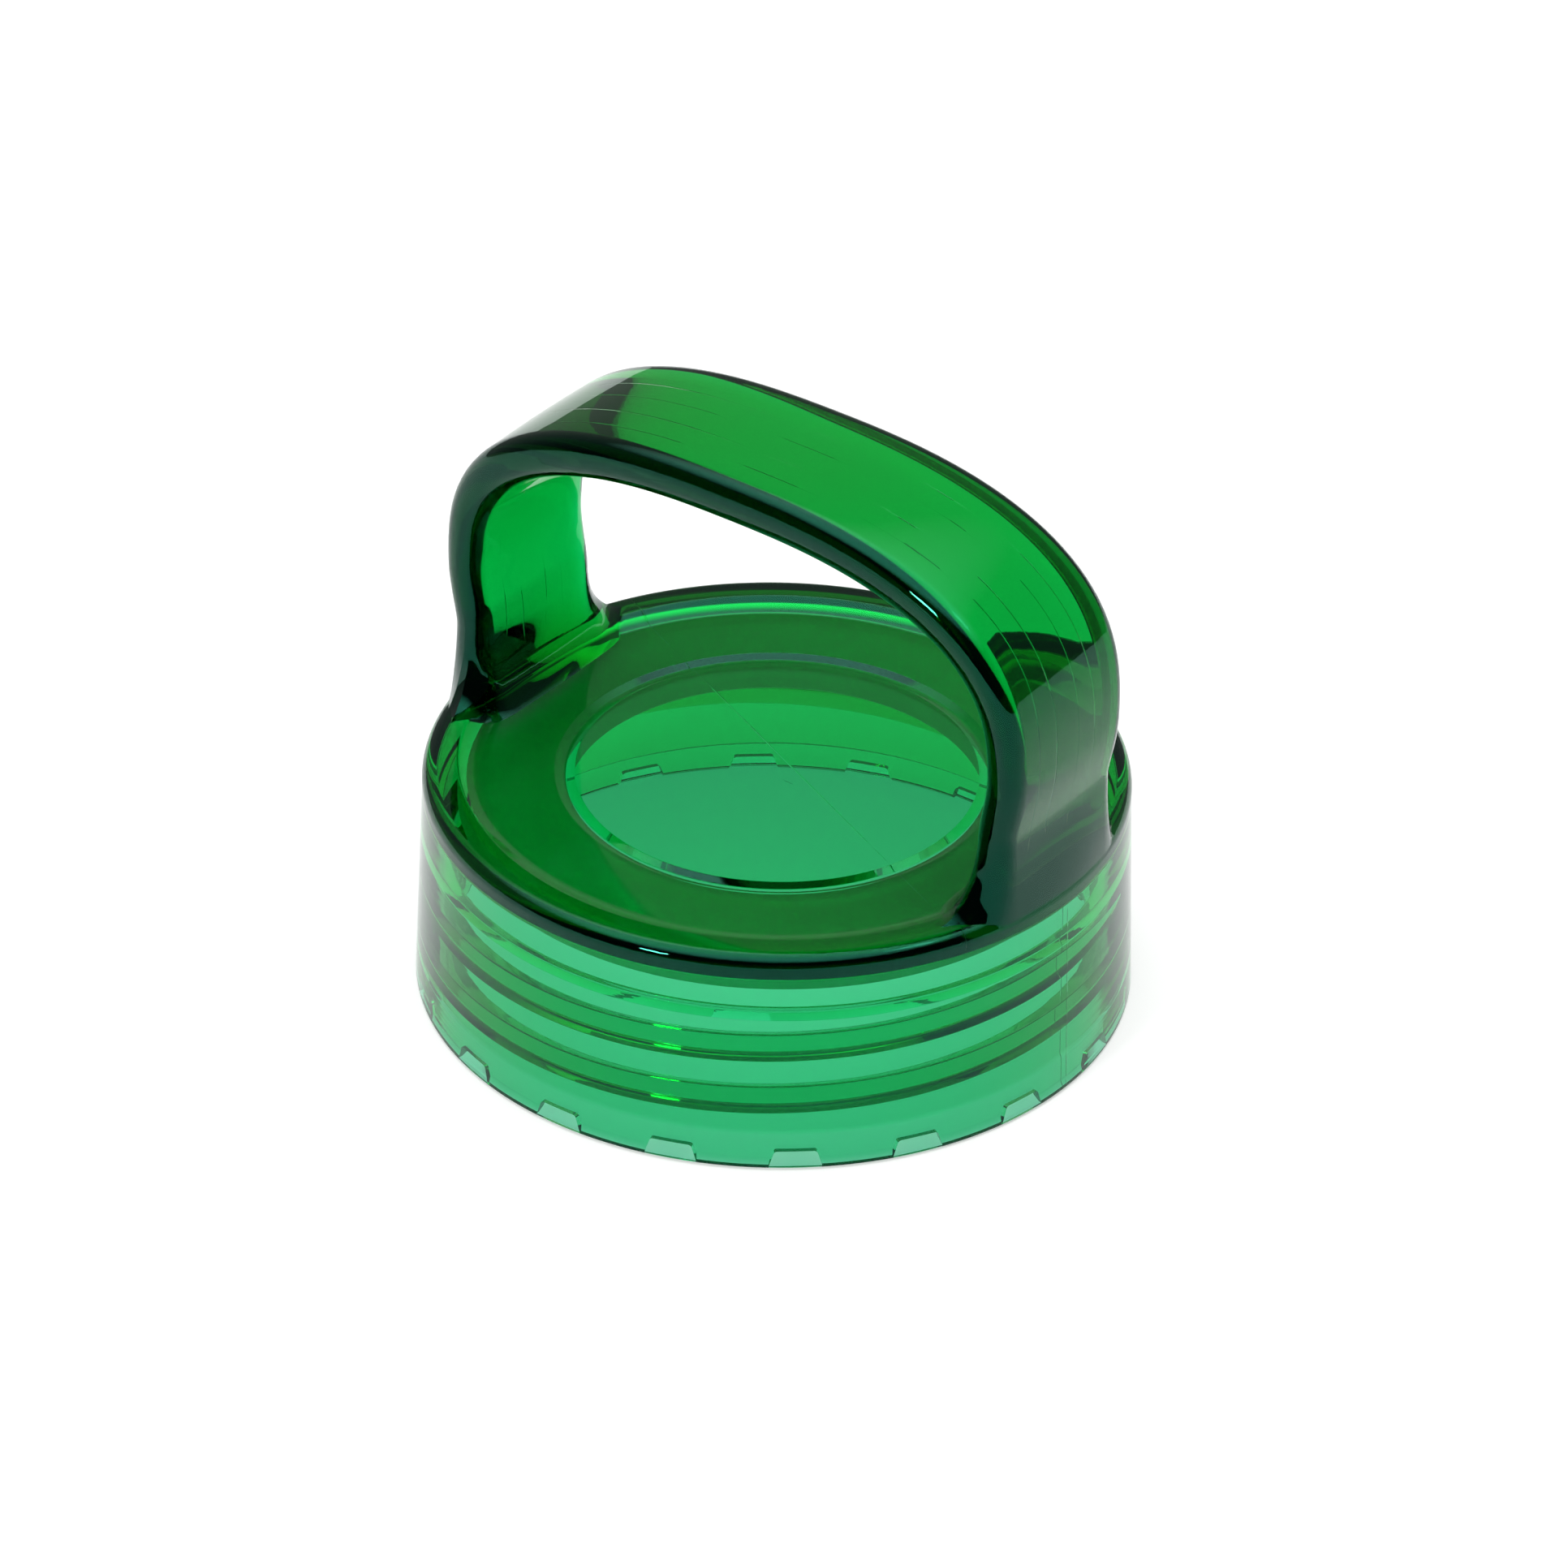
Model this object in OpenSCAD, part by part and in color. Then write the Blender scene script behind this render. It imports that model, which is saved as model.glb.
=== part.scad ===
// Screw cap with a carry loop, for a wide-mouth storage jar or bottle.
// Frame: +Z up, the open rim rests on z = 0, the axis of the thread is Z, and the loop spans along X.
// The cap stands as it does on a bottle. All sizes are in millimetres and all angles in degrees.

/* [Cap] */
// Outer diameter of the skirt at the open rim
cap_d = 68; // [62:0.5:82]
// Loss of outer radius from the open rim up to the top, so that the moulding leaves its mould
draft = 0.7; // [0:0.1:1.5]
// Height of the cap without its loop
cap_h = 22.7; // [20:0.1:30]
// Radius on the outer top edge
edge_r = 1.4; // [0.6:0.1:1.8]
// Wall thickness at the open rim, out from the wall that the thread stands on
wall_t = 2; // [1.6:0.1:3]
// Chamfer on the inner edge of the open rim
rim_chamfer = 0.5; // [0.2:0.1:0.8]

/* [Top plate] */
// Thickness of the plate
plate_t = 1.9; // [1.2:0.1:3]
// Depth of the plate below the raised rim
recess = 0.9; // [0.4:0.1:1.5]
// Width of the slope from the raised rim down to the plate
rim_slope = 1.7; // [0.5:0.1:3]
// Width of the flat land on the raised rim
rim_land = 2; // [0.5:0.1:3]
// Radius of the middle of the ring groove
groove_r = 19.95; // [12:0.05:24]
// Width of the ring groove
groove_w = 1.9; // [1:0.1:3]
// Depth of the ring groove
groove_depth = 0.35; // [0.1:0.05:0.8]

/* [Neck fit] */
// Smooth lead-in at the mouth: how much wider than the thread's root wall, on the radius
lead_clear = 0.4; // [0.35:0.05:0.6]
// Height of the smooth lead-in
lead_h = 3.1; // [2.5:0.1:4]
// Height of one turn of the thread
pitch = 5.7; // [5:0.1:7]
// How far the thread ridge stands in from the wall
ridge_h = 1.4; // [0.8:0.1:1.8]
// Width of the ridge at the wall
ridge_root = 3.06; // [2:0.02:3.4]
// Width of the ridge at its crest
ridge_crest = 1.7; // [1:0.1:2]
// Gap that the ridge keeps from the lead-in below it and from the seal's bead above it
ridge_gap = 0.15; // [0.05:0.05:1]
// Angle at which the ridge starts, from +X
ridge_start = -182; // [-360:1:360]

/* [Seal] */
// Thickness of the seal ring
seal_t = 2.5; // [1:0.1:3]
// Width of the seal ring
seal_w = 10.4; // [4:0.1:12]
// Gap between the seal ring and the wall round it
seal_gap = 2; // [0.1:0.1:3]
// How far the bead above the thread stands in from the wall
bead_h = 0.7; // [0.4:0.1:1]
// Height of the bead
bead_w = 1.2; // [0.8:0.1:2]
// Height between the bead and the seal ring's lower face
bead_gap = 0.8; // [0.2:0.1:2]

/* [Rim notches] */
// Number of notches cut in the inside of the open rim
notch_count = 18; // [6:1:24]
// Width of a notch at the open rim
notch_w = 4.9; // [2:0.1:6]
// Width of a notch at its top
notch_top_w = 3.9; // [1.5:0.1:5]
// Height of a notch
notch_h = 1.6; // [0.8:0.1:2]
// Wall left outside a notch
notch_skin = 0.8; // [0.3:0.1:1]

/* [Carry loop] */
// Height of the loop above the cap's raised rim
loop_h = 34.8; // [28:0.1:45]
// Height above the raised rim at which the loop is widest
bulge_up = 14.3; // [10:0.1:18]
// Squareness of the loop's shoulders, where 2 is an ellipse
shoulder = 2.56; // [2:0.02:3.4]
// Height above the raised rim at which the legs are drawn in most
neck_up = 4.3; // [3:0.1:7]
// How far the legs are drawn in there, from the loop's widest span
neck_in = 1.25; // [0:0.05:3]
// How far the legs stand in from the cap's outer edge
foot_inset = 1.25; // [1:0.05:3]
// Thickness of the strap at the top of the loop
strap_t = 4.7; // [3:0.1:7]
// Thickness of the strap in the legs
leg_t = 4.2; // [3:0.1:7]
// Width of the strap at the top of the loop
strap_w = 18.5; // [12:0.5:22]
// Width of the strap in the legs
leg_w = 17.6; // [12:0.5:22]
// Radius on the strap's edges
strap_edge = 1.9; // [0.5:0.1:2]
// Width that the strap gains at its feet
foot_flare = 2.4; // [0:0.1:3]
// Thickness that the strap gains at its feet, on the inner side
foot_gain = 1.8; // [0:0.1:4]
// Height over which the feet flare
flare_h = 4.5; // [2:0.5:8]

/* [Hidden] */

$fn = 96;
tiny = 0.01;
clear_through = 1;

green = [0.0, 0.53, 0.24, 0.8];
green_deep = [0.0, 0.42, 0.18, 0.85];
silicone = [0.88, 0.9, 0.86, 0.7];

// Cap
cap_r = cap_d / 2;
top_r = cap_r - draft;
root_r = cap_r - wall_t;
lead_r = root_r + lead_clear;
plate_top = cap_h - recess;
plate_under = plate_top - plate_t;
land_r = top_r - edge_r;
slope_r = land_r - rim_land;
recess_r = slope_r - rim_slope;
edge_z = cap_h - edge_r;

// Seal and its bead
seal_z = plate_under - seal_t;
seal_r = root_r - seal_gap;
bead_top = seal_z - bead_gap;
bead_z = bead_top - bead_w;

// Thread
ridge_low = lead_h + ridge_gap + ridge_root / 2;
ridge_high = bead_z - ridge_gap - ridge_root / 2;
ridge_turn = 360 * (ridge_high - ridge_low) / pitch;
ridge_step = 5;
ridge_steps = ceil(ridge_turn / ridge_step);
ridge_fade = 25;
ridge_start_h = 0.15;

// Loop
leg_steps = 10;
arch_steps = 26;
corner_steps = 4;
neck_reach = top_r - foot_inset;
loop_reach = neck_reach + neck_in;
neck_z = cap_h + neck_up;
bulge_z = cap_h + bulge_up;
loop_top = cap_h + loop_h;
arch_rise = loop_top - bulge_z;

// Smooth step from 0 to 1 while x goes from 0 to 1
function ease(x) = x <= 0 ? 0 : x >= 1 ? 1 : (1 - cos(180 * x)) / 2;

// Outer line of one leg at height z
function leg_u(z) = neck_reach + neck_in * ease((z - neck_z) / (bulge_z - neck_z));

// Distance from the arch's centre to its outer line in direction a
function arch_r(a) =
    1 / pow(pow(cos(a) / loop_reach, shoulder) + pow(sin(a) / arch_rise, shoulder), 1 / shoulder);

// Outer line of the half loop on +X, from its foot to the top
half_line = concat(
    [for (i = [0 : leg_steps - 1])
        let (z = plate_top + (bulge_z - plate_top) * i / leg_steps)
        [leg_u(z), z]],
    [for (i = [0 : arch_steps])
        let (a = 90 * i / arch_steps)
        [arch_r(a) * cos(a), bulge_z + arch_r(a) * sin(a)]]
);
half_n = len(half_line);

// The whole line, from the foot on +X over the top to the foot on -X
loop_line = concat(half_line, [for (i = [half_n - 2 : -1 : 0]) [-half_line[i][0], half_line[i][1]]]);
line_n = len(loop_line);

// Unit direction along the line at point i; both feet stand upright
function heading(i) =
    i == 0 ? [0, 1]
    : i == line_n - 1 ? [0, -1]
    : let (d = loop_line[i + 1] - loop_line[i - 1]) d / norm(d);

// Sizes of the strap at height z
function up(z) = ease((z - neck_z) / (loop_top - neck_z));
function foot(z) = 1 - ease((z - plate_top) / flare_h);
function thick(z) = leg_t + (strap_t - leg_t) * up(z) + foot_gain * foot(z);
function wide(z) = leg_w + (strap_w - leg_w) * up(z) + foot_flare * foot(z);

// Cross-section of the strap: [depth under the outer face, place across the strap]
function strap_ring(t, w) =
    let (e = min(strap_edge, t / 2 - tiny))
    [for (k = [0 : 3], j = [0 : corner_steps])
        let (a = 90 * k + 90 * j / corner_steps)
        let (cx = k == 0 || k == 3 ? t - e : e)
        let (cy = k < 2 ? w / 2 - e : e - w / 2)
        [cx + e * cos(a), cy + e * sin(a)]];
ring_n = 4 * (corner_steps + 1);

// Point j of the ring at point i of the line
function loop_point(i, q) =
    let (p = loop_line[i], d = heading(i), inward = [-d[1], d[0]])
    [p[0] + inward[0] * q[0], q[1], p[1] + inward[1] * q[0]];

// Side and end faces of a tube of rings, with m rings of k points
function tube_faces(m, k) = concat(
    [for (i = [0 : m - 2], j = [0 : k - 1])
        [i * k + j, i * k + (j + 1) % k, (i + 1) * k + (j + 1) % k, (i + 1) * k + j]],
    [[for (j = [k - 1 : -1 : 0]) j]],
    [[for (j = [0 : k - 1]) (m - 1) * k + j]]
);

// Outline of the foot on +X, as seen from above
foot_outline = [for (q = strap_ring(thick(plate_top), wide(plate_top))) [leg_u(plate_top) - q[0], q[1]]];

// Outside of the cap, filled in to its axis, with the round top edge
module outer_section() {
    polygon([
        [0, 0],
        [cap_r, 0],
        [top_r, edge_z],
        [land_r, edge_z],
        [land_r, cap_h],
        [0, cap_h]
    ]);
    translate([land_r, edge_z]) {
        circle(r = edge_r);
    }
}

// What the skirt leaves free: the lead-in, the threaded bore up to the bead, the plate's seat
// and the dish inside the raised rim
module inner_section() {
    polygon([
        [0, -clear_through],
        [lead_r + rim_chamfer + clear_through, -clear_through],
        [lead_r, rim_chamfer],
        [lead_r, lead_h],
        [root_r, lead_h],
        [root_r, bead_z],
        [root_r - bead_h, bead_z + bead_w * 2 / 3],
        [root_r - bead_h, bead_top],
        [root_r, bead_top],
        [root_r, plate_top],
        [recess_r, plate_top],
        [slope_r, cap_h],
        [slope_r, cap_h + clear_through],
        [0, cap_h + clear_through]
    ]);
}

// One notch, a pocket that opens inwards and downwards
module notch() {
    reach = cap_r - notch_skin;
    translate([0, 0, -clear_through]) {
        intersection() {
            difference() {
                cylinder(r = reach, h = notch_h + clear_through);
                translate([0, 0, -tiny]) {
                    cylinder(r = root_r - clear_through, h = notch_h + 2 * clear_through);
                }
            }
            rotate([90, 0, 90]) {
                linear_extrude(cap_d) {
                    polygon([
                        [-notch_w / 2, 0],
                        [notch_w / 2, 0],
                        [notch_w / 2, clear_through],
                        [notch_top_w / 2, notch_h + clear_through],
                        [-notch_top_w / 2, notch_h + clear_through],
                        [-notch_w / 2, clear_through]
                    ]);
                }
            }
        }
    }
}

// Threaded wall with the raised rim round the top
module cap_skirt() {
    color(green)
    difference() {
        rotate_extrude() {
            difference() {
                outer_section();
                inner_section();
            }
        }
        for (i = [0 : notch_count - 1]) {
            rotate([0, 0, (i + 0.5) * 360 / notch_count]) {
                notch();
            }
        }
        for (side = [0, 180]) {
            rotate([0, 0, side]) {
                translate([0, 0, plate_top]) {
                    linear_extrude(recess + clear_through) {
                        polygon(foot_outline);
                    }
                }
            }
        }
    }
}

// Flat top with a shallow ring groove
module top_plate() {
    color(green_deep)
    rotate_extrude() {
        polygon([
            [0, plate_top],
            [groove_r - groove_w / 2, plate_top],
            [groove_r, plate_top - groove_depth],
            [groove_r + groove_w / 2, plate_top],
            [root_r, plate_top],
            [root_r, plate_under],
            [0, plate_under]
        ]);
    }
}

// Ridge of the thread: a right-hand helix that fades in and out at its ends
module screw_thread() {
    rings = [for (i = [0 : ridge_steps])
        let (a = ridge_turn * i / ridge_steps)
        let (fade = min(1, a / ridge_fade, (ridge_turn - a) / ridge_fade))
        let (h = ridge_start_h + (ridge_h - ridge_start_h) * ease(fade))
        let (z = ridge_low + pitch * a / 360)
        let (dir = ridge_start + a)
        for (q = [
            [root_r, -ridge_root / 2],
            [root_r, ridge_root / 2],
            [root_r - h, ridge_crest / 2],
            [root_r - h, -ridge_crest / 2]
        ])
        [q[0] * cos(dir), q[0] * sin(dir), z + q[1]]];
    color(green)
    polyhedron(points = rings, faces = tube_faces(ridge_steps + 1, 4), convexity = 6);
}

// Wide flat silicone washer against the plate's underside, which closes on the bottle's lip
module seal_ring() {
    color(silicone)
    translate([0, 0, seal_z]) {
        difference() {
            cylinder(r = seal_r, h = seal_t);
            translate([0, 0, -clear_through]) {
                cylinder(r = seal_r - seal_w, h = seal_t + 2 * clear_through);
            }
        }
    }
}

// Strap that rises from one side of the rim, arches over and comes down on the other side
module carry_loop() {
    points = [for (i = [0 : line_n - 1])
        let (z = loop_line[i][1])
        for (q = strap_ring(thick(z), wide(z)))
        loop_point(i, q)];
    color(green_deep)
    polyhedron(points = points, faces = tube_faces(line_n, ring_n), convexity = 6);
}

cap_skirt();
top_plate();
screw_thread();
seal_ring();
carry_loop();
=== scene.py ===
"""Looks of a clear green screw cap with a carry loop: the moulding, its seal and a plain studio stage."""

import math

import bmesh
import bpy
from mathutils import Matrix, Vector


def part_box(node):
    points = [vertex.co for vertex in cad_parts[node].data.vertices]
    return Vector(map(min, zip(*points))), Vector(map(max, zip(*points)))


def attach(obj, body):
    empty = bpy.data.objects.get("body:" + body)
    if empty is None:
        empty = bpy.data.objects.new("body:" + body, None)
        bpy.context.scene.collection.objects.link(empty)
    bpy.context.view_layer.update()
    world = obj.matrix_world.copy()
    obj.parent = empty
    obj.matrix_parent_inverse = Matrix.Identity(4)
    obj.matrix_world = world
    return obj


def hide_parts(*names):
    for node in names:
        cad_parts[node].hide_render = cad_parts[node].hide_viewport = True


bl_info = {
    "name": "Screw cap with carry loop",
    "version": (1, 0, 0),
    "blender": (4, 5, 0),
    "location": "3D View > Sidebar > Cap",
    "description": "Builds a clear plastic screw cap, its seal ring and a studio stage",
    "category": "Object",
}

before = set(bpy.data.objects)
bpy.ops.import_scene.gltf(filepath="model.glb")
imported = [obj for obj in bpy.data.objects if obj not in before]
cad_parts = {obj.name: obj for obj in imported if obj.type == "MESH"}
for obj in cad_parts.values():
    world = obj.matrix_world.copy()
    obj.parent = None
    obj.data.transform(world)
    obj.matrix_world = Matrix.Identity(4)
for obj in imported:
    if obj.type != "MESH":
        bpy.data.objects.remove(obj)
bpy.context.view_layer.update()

MM = 0.001
_, SKIRT_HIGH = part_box("cap_skirt")
PLATE_LOW, PLATE_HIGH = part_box("top_plate")
SEAL_LOW, SEAL_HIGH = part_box("seal_ring")
_, LOOP_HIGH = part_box("carry_loop")


# ---------------------------------------------------------------- sizes and colours


def length(name, description, default):
    """A length in metres, shown in the user's own units."""
    return bpy.props.FloatProperty(
        name=name, description=description, default=default, min=0.0, unit="LENGTH", precision=5
    )


class CapSizes(bpy.types.PropertyGroup):
    """Sizes of the cap without its loop."""

    outer_r: length("Rim radius", "Outer radius at the open rim", SKIRT_HIGH.x)
    height: length("Height", "Height of the cap without the loop", SKIRT_HIGH.z)
    draft: length("Draft", "Loss of outer radius up to the top edge", 0.7 * MM)
    edge_r: length("Edge radius", "Radius of the outer top edge", 1.4 * MM)
    land_w: length("Land width", "Flat width on the raised rim", 2.0 * MM)
    slope_w: length("Slope width", "Width of the slope down to the plate", 1.7 * MM)
    plate_top: length("Plate top", "Height of the plate's upper face", PLATE_HIGH.z)
    plate_under: length("Plate underside", "Height of the plate's lower face", PLATE_LOW.z)
    groove_r: length("Groove radius", "Radius of the ring groove", 19.95 * MM)
    groove_w: length("Groove width", "Width of the ring groove", 1.9 * MM)
    groove_depth: length("Groove depth", "Depth of the ring groove", 0.35 * MM)
    root_r: length("Root radius", "Radius of the wall behind the thread", PLATE_HIGH.x)
    lead_clear: length("Lead-in", "How much wider the mouth is than the root wall", 0.4 * MM)
    lead_h: length("Lead-in height", "Height of the smooth mouth", 3.1 * MM)
    chamfer: length("Chamfer", "Chamfer inside the open rim", 0.5 * MM)
    bead_h: length("Bead height", "How far the seal's bead stands in", 0.7 * MM)
    bead_w: length("Bead width", "Height of the seal's bead along the wall", 1.2 * MM)
    bead_gap: length("Bead gap", "Height between the bead and the seal", 0.8 * MM)
    seal_w: length("Seal width", "Width of the seal ring", 10.4 * MM)


class ThreadSizes(bpy.types.PropertyGroup):
    """Sizes of the thread ridge and of the notches in the rim."""

    pitch: length("Pitch", "Rise of the ridge in one turn", 5.7 * MM)
    ridge_h: length("Ridge height", "How far the ridge stands in from the wall", 1.4 * MM)
    ridge_root: length("Ridge root", "Width of the ridge at the wall", 3.06 * MM)
    ridge_crest: length("Ridge crest", "Width of the ridge at its crest", 1.7 * MM)
    start: bpy.props.FloatProperty(
        name="Start", description="Where the ridge starts, from +X", subtype="ANGLE",
        default=math.radians(-182),
    )
    ridge_gap: length("Ridge gap", "Gap that the ridge keeps above and below", 0.15 * MM)
    notch_count: bpy.props.IntProperty(
        name="Notches", description="Number of notches inside the open rim", default=18, min=1
    )
    notch_w: length("Notch width", "Width of a notch at the open rim", 4.9 * MM)
    notch_top_w: length("Notch top width", "Width of a notch at its top", 3.9 * MM)
    notch_h: length("Notch height", "Height of a notch", 1.6 * MM)
    notch_skin: length("Notch skin", "Wall left outside a notch", 0.8 * MM)


class LoopSizes(bpy.types.PropertyGroup):
    """Sizes of the carry loop."""

    top: length("Top", "Height of the loop's top", LOOP_HIGH.z)
    reach: length("Reach", "Half the outer span where the loop is widest", LOOP_HIGH.x)
    bulge_z: length("Bulge height", "Height at which the loop is widest", 37.0 * MM)
    shoulder: bpy.props.FloatProperty(
        name="Shoulder", description="Squareness of the shoulders, 2 is an ellipse", default=2.56, min=1.5
    )
    neck_z: length("Neck height", "Height at which the legs are drawn in", 27.0 * MM)
    neck_in: length("Neck depth", "How far the legs are drawn in", 1.25 * MM)
    strap_t: length("Strap thickness", "Thickness at the top", 4.7 * MM)
    leg_t: length("Leg thickness", "Thickness in the legs", 4.2 * MM)
    strap_w: length("Strap width", "Width at the top", 18.5 * MM)
    leg_w: length("Leg width", "Width in the legs", 17.6 * MM)
    edge_r: length("Strap edge", "Radius along the strap's edges", 1.9 * MM)
    crown: length("Crown", "How far the strap's wide faces bulge", 0.12 * MM)
    blend_h: length("Blend height", "Height of the blend at the feet", 8.5 * MM)
    blend_in: length("Inner blend", "Reach of the blend on the inner side", 3.2 * MM)
    blend_side: length("Side blend", "Reach of the blend at the strap's sides", 6.2 * MM)


class Finish(bpy.types.PropertyGroup):
    """Colours and surface finish."""

    tint: bpy.props.FloatVectorProperty(
        name="Tint", description="Colour that the plastic lets through", subtype="COLOR",
        default=(0.0, 0.86, 0.58),
    )
    depth: bpy.props.FloatProperty(
        name="Depth", description="Strength of the tint, per metre of plastic", default=1550.0, min=0.0
    )
    gloss: bpy.props.FloatVectorProperty(
        name="Gloss", description="Colour of reflections seen face on", subtype="COLOR",
        default=(0.1, 0.95, 0.6),
    )
    ior: bpy.props.FloatProperty(name="IOR", description="Index of refraction of the plastic", default=1.5)
    silicone: bpy.props.FloatVectorProperty(
        name="Silicone", description="Colour of the seal ring", subtype="COLOR", default=(0.8, 0.7, 0.4)
    )


class StageSizes(bpy.types.PropertyGroup):
    """Camera and lights. Places are to the right of the main view, away from its camera, and up."""

    azimuth: bpy.props.FloatProperty(
        name="Azimuth", description="Direction that the camera looks in", subtype="ANGLE",
        default=math.radians(35.87),
    )
    elevation: bpy.props.FloatProperty(
        name="Elevation", description="Height of the camera as an angle", subtype="ANGLE",
        default=math.radians(32.74),
    )
    roll: bpy.props.FloatProperty(
        name="Roll", description="Turn of the camera about its view", subtype="ANGLE",
        default=math.radians(-1.114),
    )
    distance: length("Distance", "Distance from the camera to the cap", 884.0 * MM)
    lens: bpy.props.FloatProperty(name="Lens", description="Focal length in millimetres", default=216.06)
    aim_side: bpy.props.FloatProperty(
        name="Aim side", description="Place of the view's centre, to the right", unit="LENGTH",
        default=0.67 * MM,
    )
    aim_up: length("Aim up", "Height of the view's centre", 20.3 * MM)
    sky_glow: bpy.props.FloatProperty(
        name="Overhead glow", description="Brightness of the soft light overhead", default=2.6
    )
    wall_glow: bpy.props.FloatProperty(
        name="Wall glow", description="Brightness of the studio walls", default=0.03
    )
    back_glow: bpy.props.FloatProperty(
        name="Back glow", description="Added brightness of the wall behind the cap", default=0.22
    )
    floor_grey: bpy.props.FloatProperty(
        name="Floor grey", description="Share of the light that the floor gives back", default=0.6
    )
    floor_glow: bpy.props.FloatProperty(
        name="Floor glow", description="Light of the lit table top by itself", default=0.5
    )
    key_glow: bpy.props.FloatProperty(
        name="Key glow", description="Brightness of the key soft box", default=80.0
    )
    fill_glow: bpy.props.FloatProperty(
        name="Fill glow", description="Brightness of the fill soft box", default=4.0
    )


# ---------------------------------------------------------------- mesh helpers


def mesh_object(name, points, faces):
    """A closed mesh with its normals outwards."""
    mesh = bpy.data.meshes.new(name)
    bm = bmesh.new()
    vertices = [bm.verts.new(p) for p in points]
    for face in faces:
        bm.faces.new([vertices[i] for i in face])
    bmesh.ops.recalc_face_normals(bm, faces=bm.faces)
    bm.to_mesh(mesh)
    bm.free()
    made = bpy.data.objects.new(name, mesh)
    bpy.context.scene.collection.objects.link(made)
    return made


def evaluated_copy(source, name):
    """The object with its modifiers applied, as a plain new object; the source goes."""
    graph = bpy.context.evaluated_depsgraph_get()
    mesh = bpy.data.meshes.new_from_object(source.evaluated_get(graph), depsgraph=graph)
    mesh.name = name
    bpy.data.objects.remove(source)
    made = bpy.data.objects.new(name, mesh)
    bpy.context.scene.collection.objects.link(made)
    return made


def boolean(target, tool, operation):
    """Joins or cuts target with tool, and removes the tool."""
    modifier = target.modifiers.new(operation.title(), "BOOLEAN")
    modifier.operation = operation
    modifier.solver = "MANIFOLD"
    modifier.object = tool
    made = evaluated_copy(target, target.name)
    bpy.data.objects.remove(tool)
    return made


def rounded_outline(corners, step=math.radians(11)):
    """An outline of (radius, height, corner radius), with each corner turned into an arc."""
    points = []
    for i, (r, z, fillet) in enumerate(corners):
        here = Vector((r, z))
        if fillet <= 0 or i in (0, len(corners) - 1):
            points.append(here)
            continue
        before = (Vector(corners[i - 1][:2]) - here).normalized()
        after = (Vector(corners[i + 1][:2]) - here).normalized()
        half = before.angle(after) / 2
        reach = fillet / math.tan(half)
        centre = here + (before + after).normalized() * (fillet / math.sin(half))
        start, end = here + before * reach, here + after * reach
        sweep = (start - centre).angle_signed(end - centre)
        count = max(2, math.ceil(abs(sweep) / step))
        for k in range(count + 1):
            arm = (start - centre).copy()
            arm.rotate(Matrix.Rotation(-sweep * k / count, 2))
            points.append(centre + arm)
    return points


def revolved(name, outline, segments):
    """Turns an outline round Z. Points on the axis become poles; an outline off it closes on itself."""
    points, rings, faces = [], [], []
    for p in outline:
        if p.x < 1e-7:
            rings.append([len(points)] * segments)
            points.append((0, 0, p.y))
            continue
        rings.append([len(points) + k for k in range(segments)])
        for k in range(segments):
            a = math.tau * k / segments
            points.append((p.x * math.cos(a), p.x * math.sin(a), p.y))
    pairs = list(zip(rings, rings[1:]))
    if outline[0].x > 1e-7:
        pairs.append((rings[-1], rings[0]))
    for low, high in pairs:
        for k in range(segments):
            n = (k + 1) % segments
            corners = [low[k], low[n], high[n], high[k]]
            faces.append(list(dict.fromkeys(corners)))
    return mesh_object(name, points, faces)


def ease(x):
    """A smooth step from 0 to 1."""
    x = min(1.0, max(0.0, x))
    return (1 - math.cos(math.pi * x)) / 2


# ---------------------------------------------------------------- Geometry Nodes helpers


class NodeTree:
    """A Geometry Nodes tree with named inputs, built one node at a time."""

    def __init__(self, name, inputs):
        self.tree = bpy.data.node_groups.new(name, "GeometryNodeTree")
        self.tree.interface.new_socket("Geometry", in_out="OUTPUT", socket_type="NodeSocketGeometry")
        self.keys = {}
        for label, (kind, value) in inputs.items():
            socket = self.tree.interface.new_socket(label, in_out="INPUT", socket_type=kind)
            self.keys[label] = (socket.identifier, value)
        self.entry = self.tree.nodes.new("NodeGroupInput")
        self.exit = self.tree.nodes.new("NodeGroupOutput")

    def input(self, label):
        return self.entry.outputs[label]

    def add(self, kind, settings=None, sockets=None):
        """A node of that kind: its settings first, then the values or links of its sockets."""
        node = self.tree.nodes.new(kind)
        for key, value in (settings or {}).items():
            setattr(node, key, value)
        for key, value in (sockets or {}).items():
            if isinstance(value, bpy.types.NodeSocket):
                self.tree.links.new(value, node.inputs[key])
            else:
                node.inputs[key].default_value = value
        return node

    def math(self, operation, a, b=0.0):
        return self.add("ShaderNodeMath", {"operation": operation}, {0: a, 1: b}).outputs[0]

    def build(self, name, geometry):
        """Ends the tree, runs it on an empty mesh and returns the plain mesh that it makes."""
        real = self.add("GeometryNodeRealizeInstances", None, {"Geometry": geometry})
        painted = self.add(
            "GeometryNodeSetMaterial", None, {"Geometry": real.outputs[0], "Material": clear_plastic()}
        )
        self.tree.links.new(painted.outputs[0], self.exit.inputs[0])
        carrier = bpy.data.objects.new(name, bpy.data.meshes.new(name))
        bpy.context.scene.collection.objects.link(carrier)
        modifier = carrier.modifiers.new(self.tree.name, "NODES")
        modifier.node_group = self.tree
        for identifier, value in self.keys.values():
            modifier[identifier] = value
        return evaluated_copy(carrier, name)


# ---------------------------------------------------------------- shader helpers


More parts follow.
